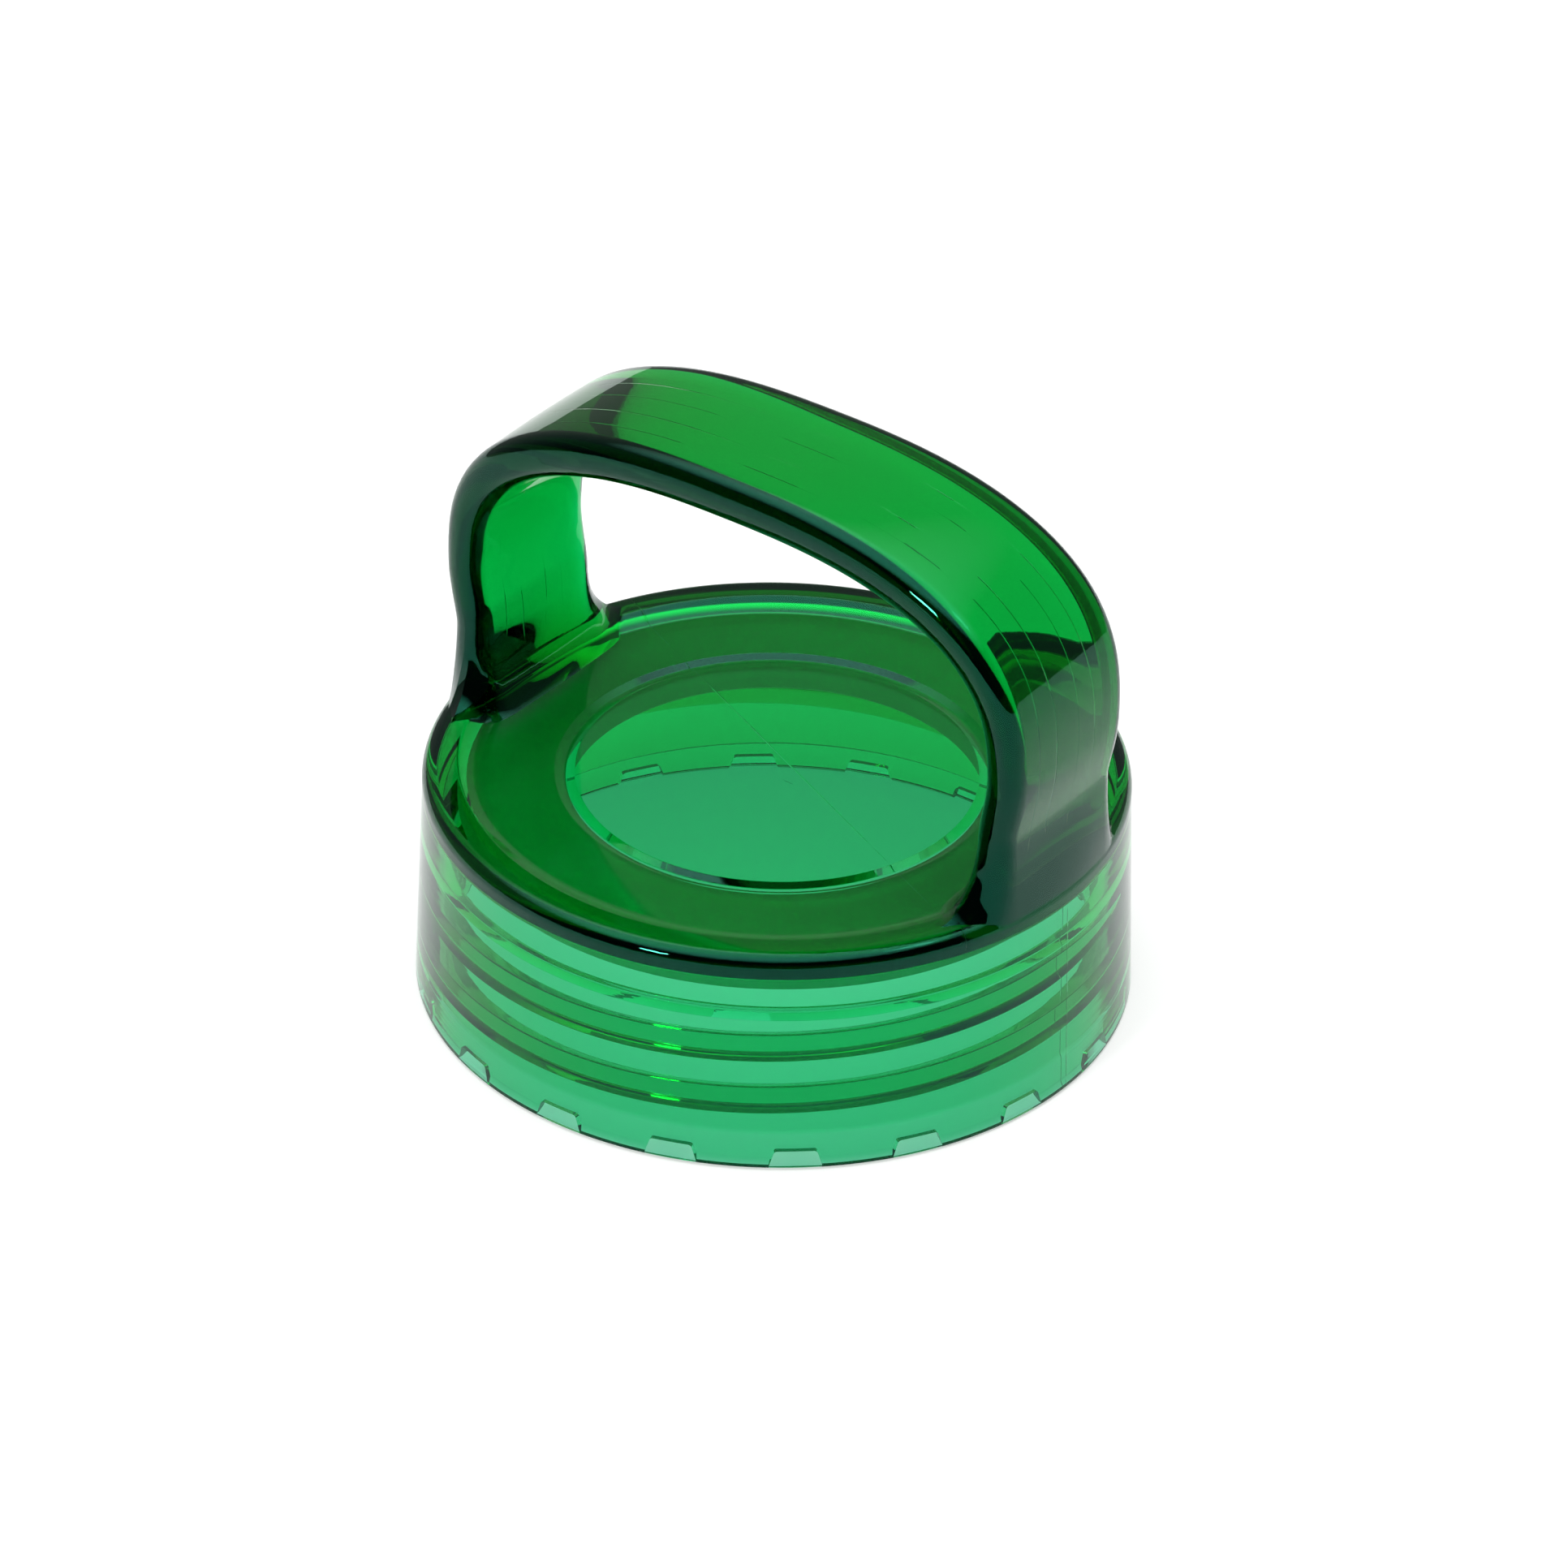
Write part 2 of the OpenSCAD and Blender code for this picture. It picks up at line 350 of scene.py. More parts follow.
class Value:
    """A shader socket that takes part in Python sums; each sum adds its Math node."""

    def __init__(self, shader, socket):
        self.shader = shader
        self.socket = socket

    def _math(self, operation, *terms):
        return self.shader.math(operation, *terms)

    def __add__(self, other):
        return self._math("ADD", self, other)

    def __radd__(self, other):
        return self._math("ADD", other, self)

    def __sub__(self, other):
        return self._math("SUBTRACT", self, other)

    def __rsub__(self, other):
        return self._math("SUBTRACT", other, self)

    def __mul__(self, other):
        return self._math("MULTIPLY", self, other)

    def __rmul__(self, other):
        return self._math("MULTIPLY", other, self)


class Shader:
    """A node tree of a material or of the world."""

    def __init__(self, owner):
        owner.use_nodes = True
        self.tree = owner.node_tree
        self.tree.nodes.clear()

    def node(self, kind, settings=None, sockets=None):
        """A node of that kind: its settings first, then the values or links of its sockets."""
        made = self.tree.nodes.new(kind)
        for key, value in (settings or {}).items():
            setattr(made, key, value)
        for key, value in (sockets or {}).items():
            if isinstance(value, Value):
                value = value.socket
            if isinstance(value, bpy.types.NodeSocket):
                self.tree.links.new(value, made.inputs[key])
            else:
                made.inputs[key].default_value = value
        return made

    def dot(self, vector, direction):
        return self.value(
            "ShaderNodeVectorMath", "Value", {"operation": "DOT_PRODUCT"}, {0: vector, 1: direction}
        )

    def mark(self, place, direction, offset, width):
        """1 on a plane across a direction, falling to 0 at half a width on either side."""
        along = self.dot(place, direction)
        away = self.math("ABSOLUTE", along - offset)
        return self.clamp(1 - away * (2 / width))

    def streaks(self, place, stretch, detail=2.0):
        """Noise drawn out along the axes where the stretch is small."""
        drawn = self.node("ShaderNodeVectorMath", {"operation": "MULTIPLY"}, {0: place, 1: stretch})
        return self.value(
            "ShaderNodeTexNoise", "Fac", None, {"Vector": drawn.outputs[0], "Scale": 1.0, "Detail": detail}
        )

    def value(self, kind, output=0, settings=None, sockets=None):
        return Value(self, self.node(kind, settings, sockets).outputs[output])

    def math(self, operation, *terms):
        return self.value("ShaderNodeMath", 0, {"operation": operation}, dict(enumerate(terms)))

    def clamp(self, value, low=0.0, high=1.0):
        return self.value("ShaderNodeClamp", 0, None, {"Value": value, "Min": low, "Max": high})


def clear_plastic():
    """Tinted clear plastic: glossy, coloured by its depth, with faint marks from the mould and from use."""
    name = "clear_green_plastic"
    if name in bpy.data.materials:
        return bpy.data.materials[name]
    finish = bpy.context.scene.cap_finish
    material = bpy.data.materials.new(name)
    shader = Shader(material)
    place = shader.node("ShaderNodeTexCoord").outputs["Object"]
    spread = shader.node("ShaderNodeSeparateXYZ", None, {0: place})
    height = Value(shader, spread.outputs["Z"])
    sideways = Value(shader, spread.outputs["X"])
    loop_start = SKIRT_HIGH.z + 1.3 * MM
    wall_end = PLATE_LOW.z + 0.1 * MM
    top_low, top_high = PLATE_HIGH.z - 1.0 * MM, PLATE_HIGH.z + 1.2 * MM
    slow, quick, sharp = 400, 1000, 3000
    on_loop = shader.clamp((height - loop_start) * slow)
    on_wall = shader.clamp((wall_end - height) * quick)
    on_top = shader.clamp((height - top_low) * sharp) * shader.clamp((top_high - height) * sharp)
    swell = shader.streaks(place, (60, 60, 60), 0.0)
    flow = shader.streaks(place, (30, 420, 30)) * on_loop
    scuffs = shader.streaks(place, (90, 90, 1400)) * on_wall
    across, slant = (0, 1, 0), (0.42, 0.91, 0)
    near_line = shader.mark(place, across, -2.6 * MM, 0.16 * MM)
    far_line = shader.mark(place, across, 3.4 * MM, 0.12 * MM)
    broken = shader.clamp(shader.streaks(place, (80, 1, 80)) * 6 - 2.4)
    flow_line = (near_line + far_line) * on_loop * broken
    parting = shader.mark(place, across, 0.0, 0.14 * MM) * on_wall * shader.clamp(sideways * quick)
    faded = shader.clamp(shader.streaks(place, (120, 120, 0)) * 5 - 1.6)
    scratch = shader.mark(place, slant, 1.5 * MM, 0.16 * MM) * on_top * faded
    worn = shader.clamp(shader.streaks(place, (500, 500, 900), 4.0) * 9 - 5.6)
    height_map = swell + flow * 0.04 + scuffs * 0.08 - flow_line * 0.35 + parting * 0.5 - scratch * 0.6
    bump = shader.node(
        "ShaderNodeBump", None, {"Strength": 0.25, "Distance": 0.0002, "Height": height_map}
    ).outputs[0]
    body = shader.node(
        "ShaderNodeBsdfPrincipled",
        None,
        {
            "Base Color": (1, 1, 1, 1),
            "Roughness": worn * 0.02 + scratch * 0.3,
            "IOR": finish.ior,
            "Specular Tint": (*finish.gloss, 1),
            "Transmission Weight": 1.0,
            "Normal": bump,
        },
    )
    depth = shader.node(
        "ShaderNodeVolumeAbsorption", None, {"Color": (*finish.tint, 1), "Density": finish.depth}
    )
    shader.node(
        "ShaderNodeOutputMaterial", None, {"Surface": body.outputs[0], "Volume": depth.outputs[0]}
    )
    return material


def silicone_rubber():
    """Milky silicone of the seal ring, satin and faintly mottled."""
    finish = bpy.context.scene.cap_finish
    material = bpy.data.materials.new("silicone_rubber")
    shader = Shader(material)
    place = shader.node("ShaderNodeTexCoord").outputs["Object"]
    mottle = shader.streaks(place, (220, 220, 220), 3.0)
    shade = tuple(0.86 * part for part in finish.silicone)
    colour = shader.node("ShaderNodeMix", {"data_type": "RGBA"}, {
        0: mottle, 6: (*finish.silicone, 1), 7: (*shade, 1),
    })
    skin = shader.streaks(place, (900, 900, 900))
    bump = shader.node("ShaderNodeBump", None, {"Strength": 0.2, "Distance": 0.0001, "Height": skin})
    body = shader.node("ShaderNodeBsdfPrincipled", None, {
        "Base Color": colour.outputs[2],
        "Roughness": 0.38 + mottle * 0.15,
        "IOR": 1.41,
        "Normal": bump.outputs[0],
    })
    shader.node("ShaderNodeOutputMaterial", None, {"Surface": body.outputs[0]})
    return material


# ---------------------------------------------------------------- the moulding


def cap_outline(s):
    """Half section of the cap, from the middle of its top round the outside to its underside."""
    top_r = s.outer_r - s.draft
    land_r = top_r - s.edge_r
    slope_r = land_r - s.land_w
    lead_r = s.root_r + s.lead_clear
    seal_z = SEAL_LOW.z
    bead_top = seal_z - s.bead_gap
    bead_z = bead_top - s.bead_w
    crease = 0.06 * MM
    soft = 0.25 * MM
    return rounded_outline([
        (0, s.plate_top, 0),
        (s.groove_r - s.groove_w / 2, s.plate_top, soft),
        (s.groove_r, s.plate_top - s.groove_depth, 2 * soft),
        (s.groove_r + s.groove_w / 2, s.plate_top, soft),
        (slope_r - s.slope_w, s.plate_top, 10 * soft),
        (slope_r, s.height, 3 * soft),
        (top_r, s.height, s.edge_r),
        (s.outer_r, 0, soft),
        (lead_r + s.chamfer, 0, crease),
        (lead_r, s.chamfer, crease),
        (lead_r, s.lead_h, crease),
        (s.root_r, s.lead_h + s.lead_clear, crease),
        (s.root_r, bead_z, soft),
        (s.root_r - s.bead_h, bead_z + s.bead_w * 2 / 3, soft),
        (s.root_r - s.bead_h, bead_top, crease),
        (s.root_r, bead_top, crease),
        (s.root_r, s.plate_under, soft),
        (0, s.plate_under, 0),
    ])


def cap_height_at(s, r):
    """Height of the cap's upper surface at radius r."""
    land_r = s.outer_r - s.draft - s.edge_r
    slope_r = land_r - s.land_w
    if r < slope_r:
        share = min(1.0, max(0.0, (r - slope_r + s.slope_w) / s.slope_w))
        return s.plate_top + (s.height - s.plate_top) * share
    over = min(s.edge_r, max(0.0, r - land_r))
    return s.height - s.edge_r + math.sqrt(s.edge_r**2 - over**2)


def strap_section(t, w, edge, crown, turns=6, flats=8):
    """Section of the strap as (depth under the outer face, place across, outward direction)."""
    edge = min(edge, t / 2 - crown - 0.01 * MM)
    near, far, side = edge + crown, t - edge - crown, w / 2 - edge
    ring = []
    corners = [(far, side), (near, side), (near, -side), (far, -side)]
    for k, (d, c) in enumerate(corners):
        for j in range(turns + 1):
            a = math.pi / 2 * (k + j / turns)
            ring.append((d + edge * math.cos(a), c + edge * math.sin(a), math.cos(a), math.sin(a)))
        if k % 2:
            outer = k == 1
            for j in range(1, flats):
                share = (1 - 2 * j / flats) * (1 if outer else -1)
                drop = crown * share**2
                ring.append((drop if outer else t - drop, side * share, -1.0 if outer else 1.0, 0.0))
    return ring


def loop_half(s, cap):
    """Rings of points of the half loop on +X, from inside the cap up to the middle of the top."""
    foot_z = cap.plate_top + s.blend_h
    neck_reach = s.reach - s.neck_in
    rise = s.top - s.bulge_z

    def sizes(z):
        up = ease((z - s.neck_z) / (s.top - s.neck_z))
        return s.leg_t + (s.strap_t - s.leg_t) * up, s.leg_w + (s.strap_w - s.leg_w) * up

    def leg_u(z):
        return neck_reach + s.neck_in * ease((z - s.neck_z) / (s.bulge_z - s.neck_z))

    line = []
    leg_steps, arch_steps = 14, 44
    for i in range(leg_steps):
        z = foot_z + (s.bulge_z - foot_z) * i / leg_steps
        line.append(Vector((leg_u(z), z)))
    for i in range(arch_steps + 1):
        a = math.pi / 2 * i / arch_steps
        far = (
            (math.cos(a) / s.reach) ** s.shoulder + (max(0.0, math.sin(a)) / rise) ** s.shoulder
        ) ** (-1 / s.shoulder)
        line.append(Vector((far * math.cos(a), s.bulge_z + far * math.sin(a))))
    rings = foot_rings(s, cap, strap_section(*sizes(foot_z), s.edge_r, s.crown), leg_u(foot_z), foot_z)
    for i, p in enumerate(line):
        if i == 0:
            heading = Vector((0, 1))
        elif i == len(line) - 1:
            heading = Vector((-1, 0))
        else:
            heading = (line[i + 1] - line[i - 1]).normalized()
        inward = Vector((-heading.y, heading.x))
        ring = []
        for d, c, _, _ in strap_section(*sizes(p.y), s.edge_r, s.crown):
            q = p + inward * d
            ring.append(Vector((q.x, c, q.y)))
        rings.append(ring)
    return rings


def foot_rings(s, cap, section, reach, foot_z, steps=12):
    """Rings that spread the foot of a leg into the cap, from the lowest, inside the cap, upwards."""
    wall_r = cap.outer_r - cap.draft - 0.02 * MM
    sink = 0.07 * MM
    wall_z = cap.height - 2.4 * MM
    buried_z = cap.plate_under + 0.9 * MM
    columns = []
    for d, c, out_d, out_c in section:
        start = Vector((reach - d, c))
        out = Vector((-out_d, out_c))
        along = start.dot(out)
        to_wall = -along + math.sqrt(max(0.0, along**2 - start.length_squared + wall_r**2))
        wall_share = ease((out.x - 0.1) / 0.8)
        spread = s.blend_in * max(0.0, -out.x) + s.blend_side * (1 - max(0.0, -out.x))
        far = (1 - wall_share) * min(spread, to_wall) + wall_share * to_wall
        end = start + out * far
        end_z = (1 - wall_share) * (cap_height_at(cap, end.length) - sink) + wall_share * wall_z
        columns.append((start, end, end_z, wall_share))
    rings = []
    middle = Vector((reach - section[0][0] / 2, 0))
    buried = []
    for start, end, end_z, share in columns:
        q = end + (middle - end).normalized() * 0.7 * MM
        buried.append(Vector((q.x, q.y, buried_z)))
    rings.append(buried)
    for i in range(steps, 0, -1):
        t = i / steps
        ring = []
        for start, end, end_z, share in columns:
            over = (1 - share) * (1 - math.cos(math.pi / 2 * t)) + share * ease(t)
            down = (1 - share) * math.sin(math.pi / 2 * t) + share * t
            q = start + (end - start) * over
            ring.append(Vector((q.x, q.y, foot_z + (end_z - foot_z) * down)))
        rings.append(ring)
    return rings


def loop_body(s, cap):
    """The strap loop as one closed tube, its feet spread and buried in the cap."""
    half = loop_half(s, cap)
    turn = [[Vector((-p.x, p.y, p.z)) for p in ring] for ring in reversed(half[:-1])]
    rings = half + turn
    size = len(rings[0])
    points = [p for ring in rings for p in ring]
    faces = []
    for i in range(len(rings) - 1):
        for j in range(size):
            n = (j + 1) % size
            faces.append([i * size + j, i * size + n, (i + 1) * size + n, (i + 1) * size + j])
    for first in (0, (len(rings) - 1) * size):
        ring = list(range(first, first + size))
        middle = len(points)
        points.append(sum((points[k] for k in ring), Vector()) / size)
        for j in range(size):
            faces.append([ring[j], ring[(j + 1) % size], middle])
    return mesh_object("carry_loop_body", points, faces)


def thread_body(t, cap):
    """Ridge of the thread: a trapezoid led along a right-hand helix, smaller towards its ends."""
    embed = 0.3 * MM
    flank = (t.ridge_root - t.ridge_crest) / t.ridge_h
    low = cap.lead_h + t.ridge_gap + t.ridge_root / 2
    high = SEAL_LOW.z - cap.bead_gap - cap.bead_w - t.ridge_gap - t.ridge_root / 2
    nodes = NodeTree("Thread ridge", {
        "Wall radius": ("NodeSocketFloat", cap.root_r),
        "Turns": ("NodeSocketFloat", (high - low) / t.pitch),
        "Rise": ("NodeSocketFloat", high - low),
        "Start angle": ("NodeSocketFloat", t.start),
        "Start height": ("NodeSocketFloat", low),
        "Ridge height": ("NodeSocketFloat", t.ridge_h + embed),
        "Root width": ("NodeSocketFloat", t.ridge_root + flank * embed),
        "Crest width": ("NodeSocketFloat", t.ridge_crest),
        "Set in": ("NodeSocketFloat", embed),
        "Corner radius": ("NodeSocketFloat", 0.3 * MM),
        "Fade": ("NodeSocketFloat", 0.05),
    })
    helix = nodes.add("GeometryNodeCurveSpiral", None, {
        "Resolution": 180,
        "Rotations": nodes.input("Turns"),
        "Start Radius": nodes.input("Wall radius"),
        "End Radius": nodes.input("Wall radius"),
        "Height": nodes.input("Rise"),
        "Reverse": True,
    })
    upright = nodes.add("GeometryNodeSetCurveNormal", {"mode": "Z_UP"}, {"Curve": helix.outputs[0]})
    place = nodes.add("GeometryNodeSplineParameter").outputs["Factor"]
    near_end = nodes.math("MINIMUM", place, nodes.math("SUBTRACT", 1.0, place))
    grow = nodes.math("MINIMUM", 1.0, nodes.math("DIVIDE", near_end, nodes.input("Fade")))
    scale = nodes.math("ADD", 0.15, nodes.math("MULTIPLY", 0.85, nodes.math("SINE", nodes.math(
        "MULTIPLY", grow, math.pi / 2))))
    section = nodes.add("GeometryNodeCurvePrimitiveQuadrilateral", {"mode": "TRAPEZOID"}, {
        "Height": nodes.input("Ridge height"),
        "Bottom Width": nodes.input("Root width"),
        "Top Width": nodes.input("Crest width"),
        "Offset": 0.0,
    })
    soft = nodes.add("GeometryNodeFilletCurve", {"mode": "POLY"}, {
        "Curve": section.outputs[0],
        "Radius": nodes.input("Corner radius"),
        "Count": 4,
    })
    half_ridge = nodes.math("MULTIPLY", nodes.input("Ridge height"), 0.5)
    middle = nodes.math("SUBTRACT", nodes.input("Set in"), half_ridge)
    shift = nodes.add("ShaderNodeCombineXYZ", None, {"X": middle})
    turned = nodes.add("GeometryNodeTransform", None, {
        "Geometry": soft.outputs[0],
        "Translation": shift.outputs[0],
        "Rotation": (0, 0, math.pi / 2),
    })
    swept = nodes.add("GeometryNodeCurveToMesh", None, {
        "Curve": upright.outputs[0],
        "Profile Curve": turned.outputs[0],
        "Scale": scale,
        "Fill Caps": True,
    })
    lift = nodes.add("ShaderNodeCombineXYZ", None, {"Z": nodes.input("Start height")})
    spin = nodes.add("ShaderNodeCombineXYZ", None, {"Z": nodes.input("Start angle")})
    placed = nodes.add("GeometryNodeTransform", None, {
        "Geometry": swept.outputs[0],
        "Translation": lift.outputs[0],
        "Rotation": spin.outputs[0],
    })
    return nodes.build("thread_body", placed.outputs[0])


def notch_cutters(t, cap):
    """One tapered cutter for each notch inside the open rim."""
    under = 1 * MM
    taper = (t.notch_w - t.notch_top_w) / t.notch_h
    nodes = NodeTree("Rim notches", {
        "Count": ("NodeSocketInt", t.notch_count),
        "Height": ("NodeSocketFloat", t.notch_h + under),
        "Under": ("NodeSocketFloat", under),
        "Width": ("NodeSocketFloat", t.notch_w + taper * under),
        "Top width": ("NodeSocketFloat", t.notch_top_w),
        "Inner end": ("NodeSocketFloat", cap.root_r - under),
        "Outer end": ("NodeSocketFloat", cap.outer_r - t.notch_skin),
        "Corner radius": ("NodeSocketFloat", 0.35 * MM),
    })
    start = nodes.add("ShaderNodeCombineXYZ", None, {"X": nodes.input("Inner end")})
    end = nodes.add("ShaderNodeCombineXYZ", None, {"X": nodes.input("Outer end")})
    spoke = nodes.add("GeometryNodeCurvePrimitiveLine", None, {
        "Start": start.outputs[0],
        "End": end.outputs[0],
    })
    upright = nodes.add("GeometryNodeSetCurveNormal", {"mode": "Z_UP"}, {"Curve": spoke.outputs[0]})
    section = nodes.add("GeometryNodeCurvePrimitiveQuadrilateral", {"mode": "TRAPEZOID"}, {
        "Height": nodes.input("Height"),
        "Bottom Width": nodes.input("Top width"),
        "Top Width": nodes.input("Width"),
        "Offset": 0.0,
    })
    soft = nodes.add("GeometryNodeFilletCurve", {"mode": "POLY"}, {
        "Curve": section.outputs[0],
        "Radius": nodes.input("Corner radius"),
        "Count": 3,
    })
    cutter = nodes.add("GeometryNodeCurveToMesh", None, {
        "Curve": upright.outputs[0],
        "Profile Curve": soft.outputs[0],
        "Fill Caps": True,
    })
    drop = nodes.math("SUBTRACT", nodes.math("MULTIPLY", nodes.input("Height"), 0.5), nodes.input("Under"))
    lift = nodes.add("ShaderNodeCombineXYZ", None, {"Z": drop})
    lifted = nodes.add("GeometryNodeTransform", None, {
        "Geometry": cutter.outputs[0],
        "Translation": lift.outputs[0],
    })
    spots = nodes.add("GeometryNodeMeshLine", None, {"Count": nodes.input("Count"), "Offset": (0, 0, 0)})
    step = nodes.math("DIVIDE", math.tau, nodes.input("Count"))
    index = nodes.add("GeometryNodeInputIndex").outputs[0]
    angle = nodes.math("MULTIPLY", nodes.math("ADD", index, 0.5), step)
    spin = nodes.add("ShaderNodeCombineXYZ", None, {"Z": angle})
    ring = nodes.add("GeometryNodeInstanceOnPoints", None, {
        "Points": spots.outputs[0],
        "Instance": lifted.outputs[0],
        "Rotation": spin.outputs[0],
    })
    return nodes.build("notch_cutters", ring.outputs[0])


def finish_piece(piece, material, slot, *nodes):
    """Smooths the piece, gives it its material and hands it to the frame."""
    mesh = piece.data
    mesh.materials.clear()
    mesh.materials.append(material)
    mesh.shade_smooth()
    mesh.set_sharp_from_angle(angle=math.radians(32))
    weighted = piece.modifiers.new("Flat faces stay flat", "WEIGHTED_NORMAL")
    weighted.keep_sharp = True
    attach(piece, "root")
    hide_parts(*nodes)


class CAP_OT_moulding(bpy.types.Operator):
    """Build the clear moulding: cap, thread ridge, rim notches and carry loop in one piece"""

    bl_idname = "cap.build_moulding"
    bl_label = "Cap moulding"

    def execute(self, context):
        scene = context.scene
        cap, thread, loop = scene.cap_sizes, scene.cap_thread, scene.cap_loop
        body = revolved("cap_moulding", cap_outline(cap), 288)
        body = boolean(body, notch_cutters(thread, cap), "DIFFERENCE")
        body = boolean(body, thread_body(thread, cap), "UNION")
        body = boolean(body, loop_body(loop, cap), "UNION")
        if len(body.data.polygons) < 1000:
            raise RuntimeError("the parts of the moulding did not join")
        finish_piece(
            body, clear_plastic(), "green_plastic", "cap_skirt", "top_plate", "screw_thread", "carry_loop"
        )
        return {"FINISHED"}


class CAP_OT_seal(bpy.types.Operator):
    """Build the silicone seal ring under the plate"""

    bl_idname = "cap.build_seal"
    bl_label = "Seal ring"

    def execute(self, context):
        cap = context.scene.cap_sizes
        outer, low, high = SEAL_HIGH.x, SEAL_LOW.z, SEAL_HIGH.z - 0.03 * MM
        inner = outer - cap.seal_w
        middle = (outer + inner) / 2
        soft = 0.3 * MM
        outline = rounded_outline([
            (middle, low, 0),
            (inner, low, soft),
            (inner, high, soft),
            (outer, high, soft),
            (outer, low, soft),
            (middle + 0.01 * MM, low, 0),
        ])
        ring = revolved("seal_washer", outline, 192)
        finish_piece(ring, silicone_rubber(), "clear_silicone", "seal_ring")
        return {"FINISHED"}


# ---------------------------------------------------------------- the stage


def stage_axes(stage):
    """Directions to the right of the view, away from the camera, and up."""
    right = Vector((math.cos(stage.azimuth), math.sin(stage.azimuth), 0))
    away = Vector((-math.sin(stage.azimuth), math.cos(stage.azimuth), 0))
    return right, away, Vector((0, 0, 1))


def aim(thing, place, right, up):
    """Puts a camera or lamp at a place, with its own right and up."""
    turn = Matrix((right, up, right.cross(up))).transposed()
    thing.matrix_world = Matrix.Translation(place) @ turn.to_4x4()


def add_camera(stage):
    right, away, up = stage_axes(stage)
    forward = away * math.cos(stage.elevation) - up * math.sin(stage.elevation)
    lift = right.cross(forward)
    cos, sin = math.cos(stage.roll), math.sin(stage.roll)
    data = bpy.data.cameras.new("Camera")
    data.lens = stage.lens
    data.sensor_width = 36
    data.clip_start = 0.01
    data.clip_end = 50
    data.dof.use_dof = False
    camera = bpy.data.objects.new("Camera", data)
    bpy.context.scene.collection.objects.link(camera)
    target = right * stage.aim_side + up * stage.aim_up
    aim(camera, target - forward * stage.distance, right * cos - lift * sin, right * sin + lift * cos)
    bpy.context.scene.camera = camera


def add_lamp(stage, name, place, size, glow):
    """A soft box that faces the cap. Its place is (right, away, up) and glow is how bright it looks."""
    right, away, up = stage_axes(stage)
    spot = right * place[0] + away * place[1] + up * place[2]
    data = bpy.data.lights.new(name, "AREA")
    data.shape = "RECTANGLE"
    data.size, data.size_y = size
    data.energy = glow * size[0] * size[1] * math.pi
    lamp = bpy.data.objects.new(name, data)
    bpy.context.scene.collection.objects.link(lamp)
    back = (spot - up * 0.03).normalized()
    side = up.cross(back).normalized()
    aim(lamp, spot, side, back.cross(side))


def add_floor(stage):
    """A plain pale table top, lit softly from below as well."""
    thin, clear, reach = 2 * MM, 0.2 * MM, 4
    low, high = -thin - clear, -clear
    outline = [Vector((0, high)), Vector((reach, high)), Vector((reach, low)), Vector((0, low))]
    floor = revolved("floor", outline, 64)
    material = bpy.data.materials.new("pale_floor")
    shader = Shader(material)
    table = shader.node("ShaderNodeBsdfPrincipled", None, {
        "Base Color": (stage.floor_grey, stage.floor_grey, stage.floor_grey, 1),
        "Roughness": 1.0,
        "Specular IOR Level": 0.0,
        "Emission Color": (1, 1, 1, 1),
        "Emission Strength": stage.floor_glow,
    })
    shader.node("ShaderNodeOutputMaterial", None, {"Surface": table.outputs[0]})
    floor.data.materials.append(material)


def add_world(stage):
    """Studio walls: one soft light overhead, dim walls, and a little more light from behind."""
    _, away, _ = stage_axes(stage)
    world = bpy.data.worlds.new("Studio")
    bpy.context.scene.world = world
    shader = Shader(world)
    direction = shader.node("ShaderNodeTexCoord").outputs["Generated"]
    behind = shader.dot(direction, away)
    height = Value(shader, shader.node("ShaderNodeSeparateXYZ", None, {0: direction}).outputs["Z"])
    overhead = shader.clamp(height * 5 - 3.4)
    back = shader.clamp(behind * 1.2 + 0.35)
    strength = overhead * stage.sky_glow + back * stage.back_glow + stage.wall_glow
    glow = shader.node("ShaderNodeBackground", None, {"Color": (1, 1, 1, 1), "Strength": strength})
    shader.node("ShaderNodeOutputWorld", None, {"Surface": glow.outputs[0]})


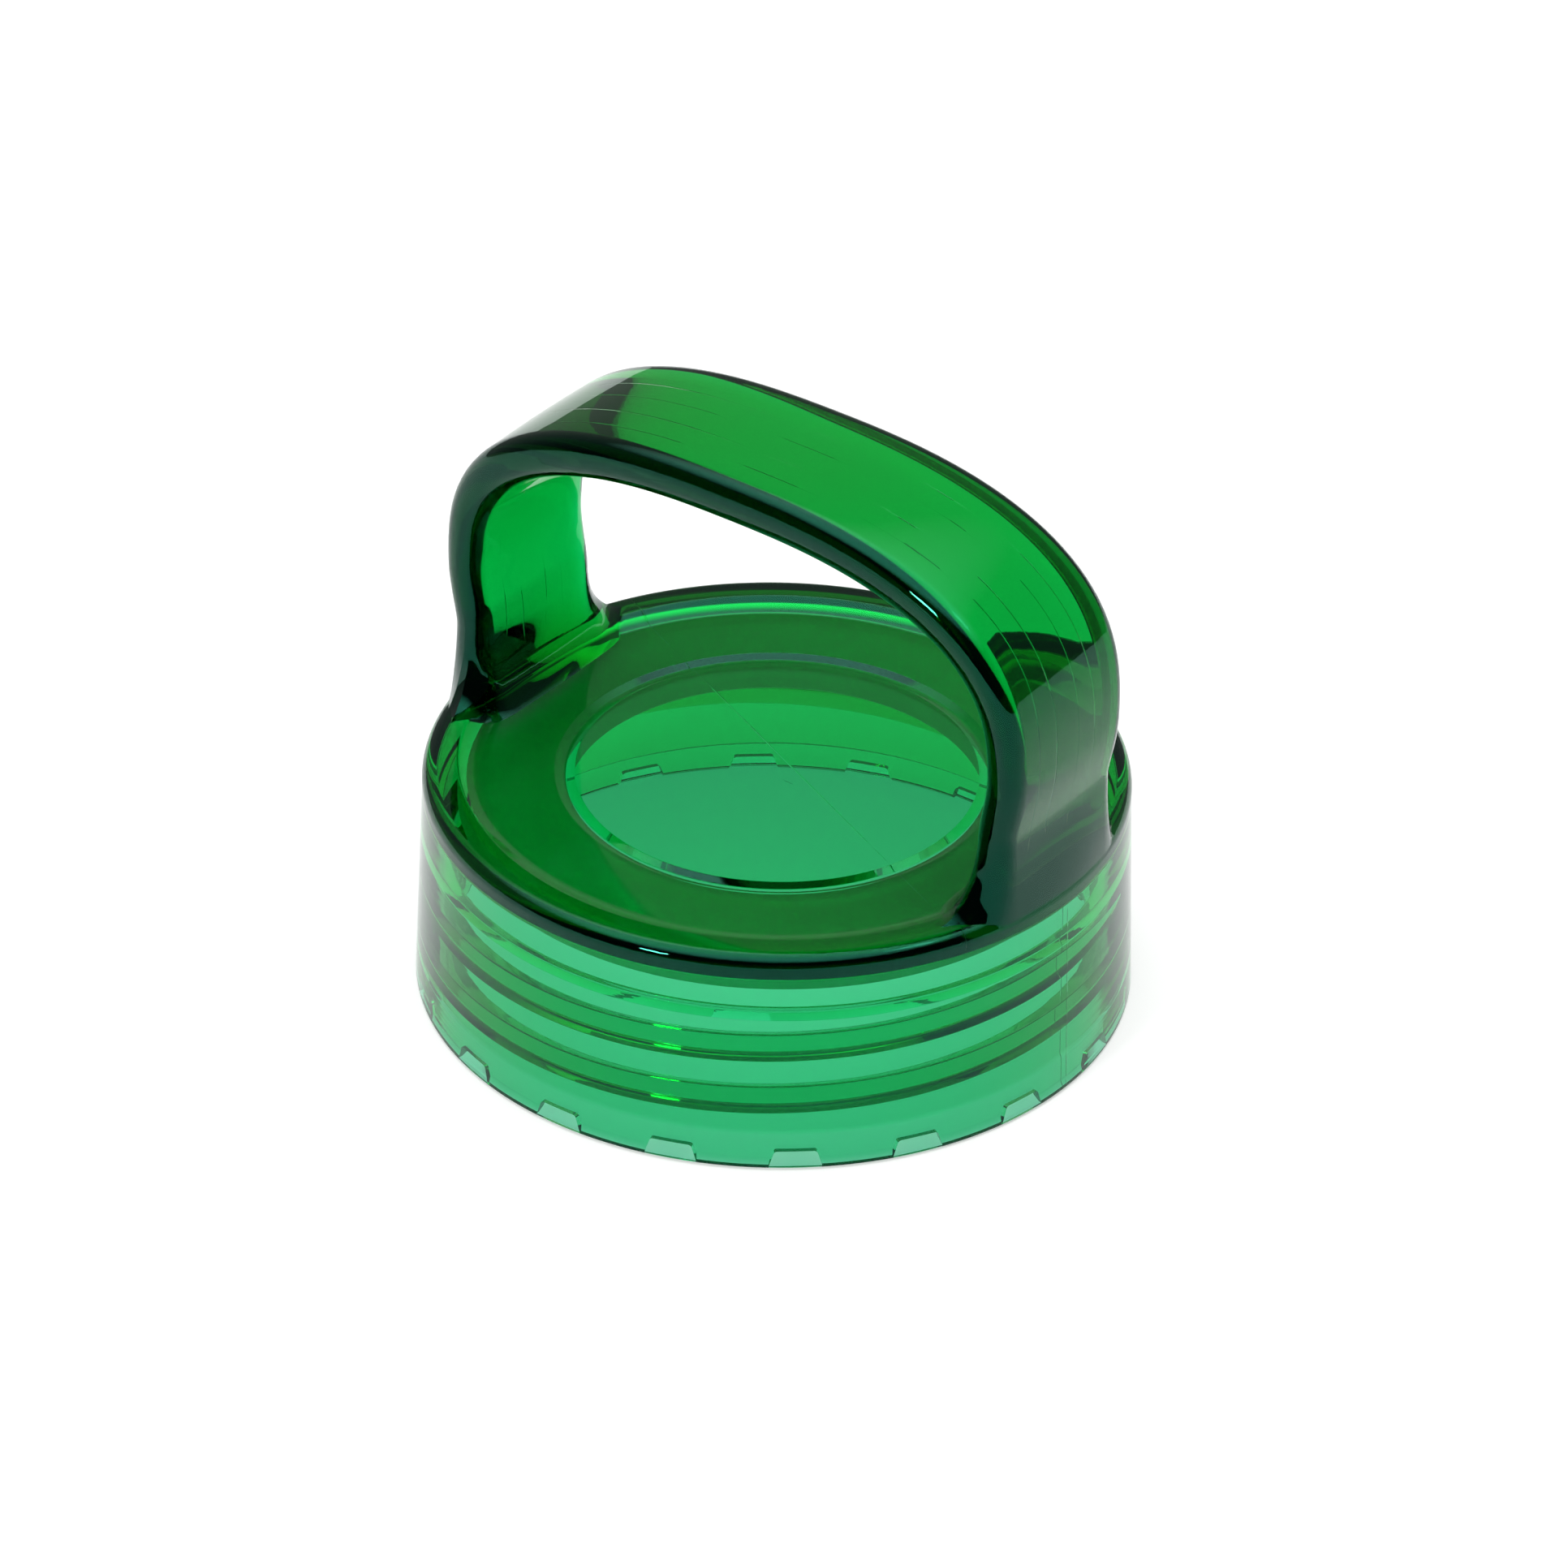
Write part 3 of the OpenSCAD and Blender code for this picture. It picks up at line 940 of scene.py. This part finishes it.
class CAP_OT_stage(bpy.types.Operator):
    """Set up the camera, the floor, the studio walls and the lamps"""

    bl_idname = "cap.build_stage"
    bl_label = "Studio stage"

    def execute(self, context):
        stage = context.scene.cap_stage
        scene = context.scene
        add_camera(stage)
        add_floor(stage)
        add_world(stage)
        add_lamp(stage, "Key", (-0.6, -0.8, 0.5), (0.16, 0.1), stage.key_glow)
        add_lamp(stage, "Fill", (0.5, -0.2, 1.0), (0.2, 0.2), stage.fill_glow)
        scene.view_settings.view_transform = "Standard"
        scene.cycles.max_bounces = 24
        scene.cycles.transmission_bounces = 24
        scene.cycles.glossy_bounces = 12
        return {"FINISHED"}


class CAP_PT_panel(bpy.types.Panel):
    """Sizes of the cap and the buttons that build it"""

    bl_label = "Screw cap"
    bl_idname = "CAP_PT_panel"
    bl_space_type = "VIEW_3D"
    bl_region_type = "UI"
    bl_category = "Cap"

    def draw(self, context):
        scene = context.scene
        for group in (scene.cap_sizes, scene.cap_thread, scene.cap_loop, scene.cap_finish, scene.cap_stage):
            box = self.layout.box()
            for name in group.__annotations__:
                box.prop(group, name)
        for operator in BUILDERS:
            self.layout.operator(operator.bl_idname)


# ---------------------------------------------------------------- registration and run

GROUPS = {
    "cap_sizes": CapSizes,
    "cap_thread": ThreadSizes,
    "cap_loop": LoopSizes,
    "cap_finish": Finish,
    "cap_stage": StageSizes,
}
BUILDERS = (CAP_OT_moulding, CAP_OT_seal, CAP_OT_stage)


def register():
    for kind in (*GROUPS.values(), *BUILDERS, CAP_PT_panel):
        bpy.utils.register_class(kind)
    for name, kind in GROUPS.items():
        setattr(bpy.types.Scene, name, bpy.props.PointerProperty(type=kind))


def unregister():
    for name in GROUPS:
        delattr(bpy.types.Scene, name)
    for kind in (CAP_PT_panel, *BUILDERS, *GROUPS.values()):
        bpy.utils.unregister_class(kind)


def main():
    register()
    bpy.ops.cap.build_moulding()
    bpy.ops.cap.build_seal()
    bpy.ops.cap.build_stage()


if __name__ == "__main__":
    main()
